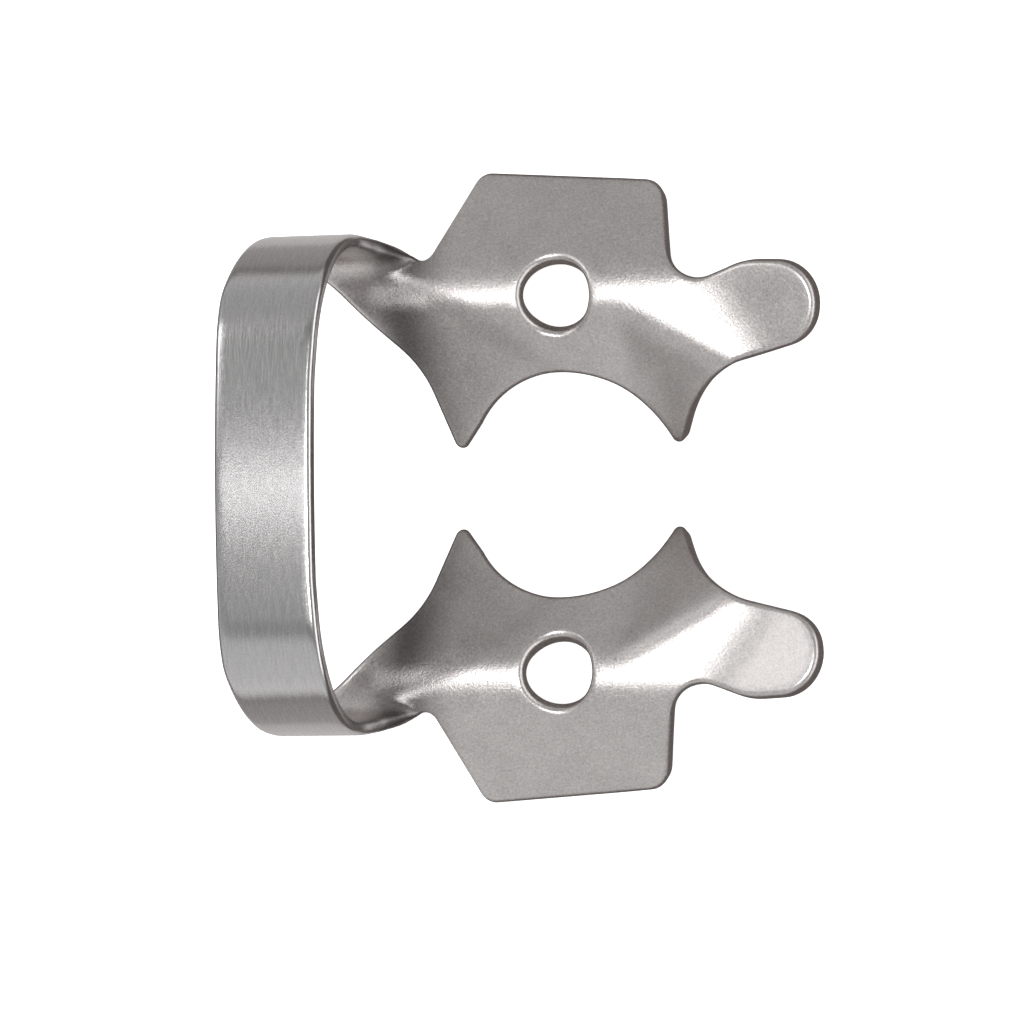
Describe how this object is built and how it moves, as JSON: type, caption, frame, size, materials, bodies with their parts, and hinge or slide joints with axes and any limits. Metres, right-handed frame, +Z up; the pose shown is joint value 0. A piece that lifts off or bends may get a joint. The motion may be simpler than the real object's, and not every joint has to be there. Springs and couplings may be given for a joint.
{
  "type": "rubber dam clamp",
  "caption": "Winged spring-steel clamp whose two pronged jaws grip a molar tooth, joined by an arched bow, with a forceps hole in each jaw.",
  "frame": {"origin": "middle of the clamp's box in plan, at the level of the prong tips that it stands on", "axes": "+X from the bow towards the front lobes, +Y from one jaw to the other, +Z up, the way the bow rises"},
  "size_m": [0.0286, 0.032, 0.0142],
  "materials": {
    "steel": "satin, tumbled, with fine random scratches and polished round edges"
  },
  "bodies": {
    "root": {"clamp": "steel"}
  },
  "joints": []
}
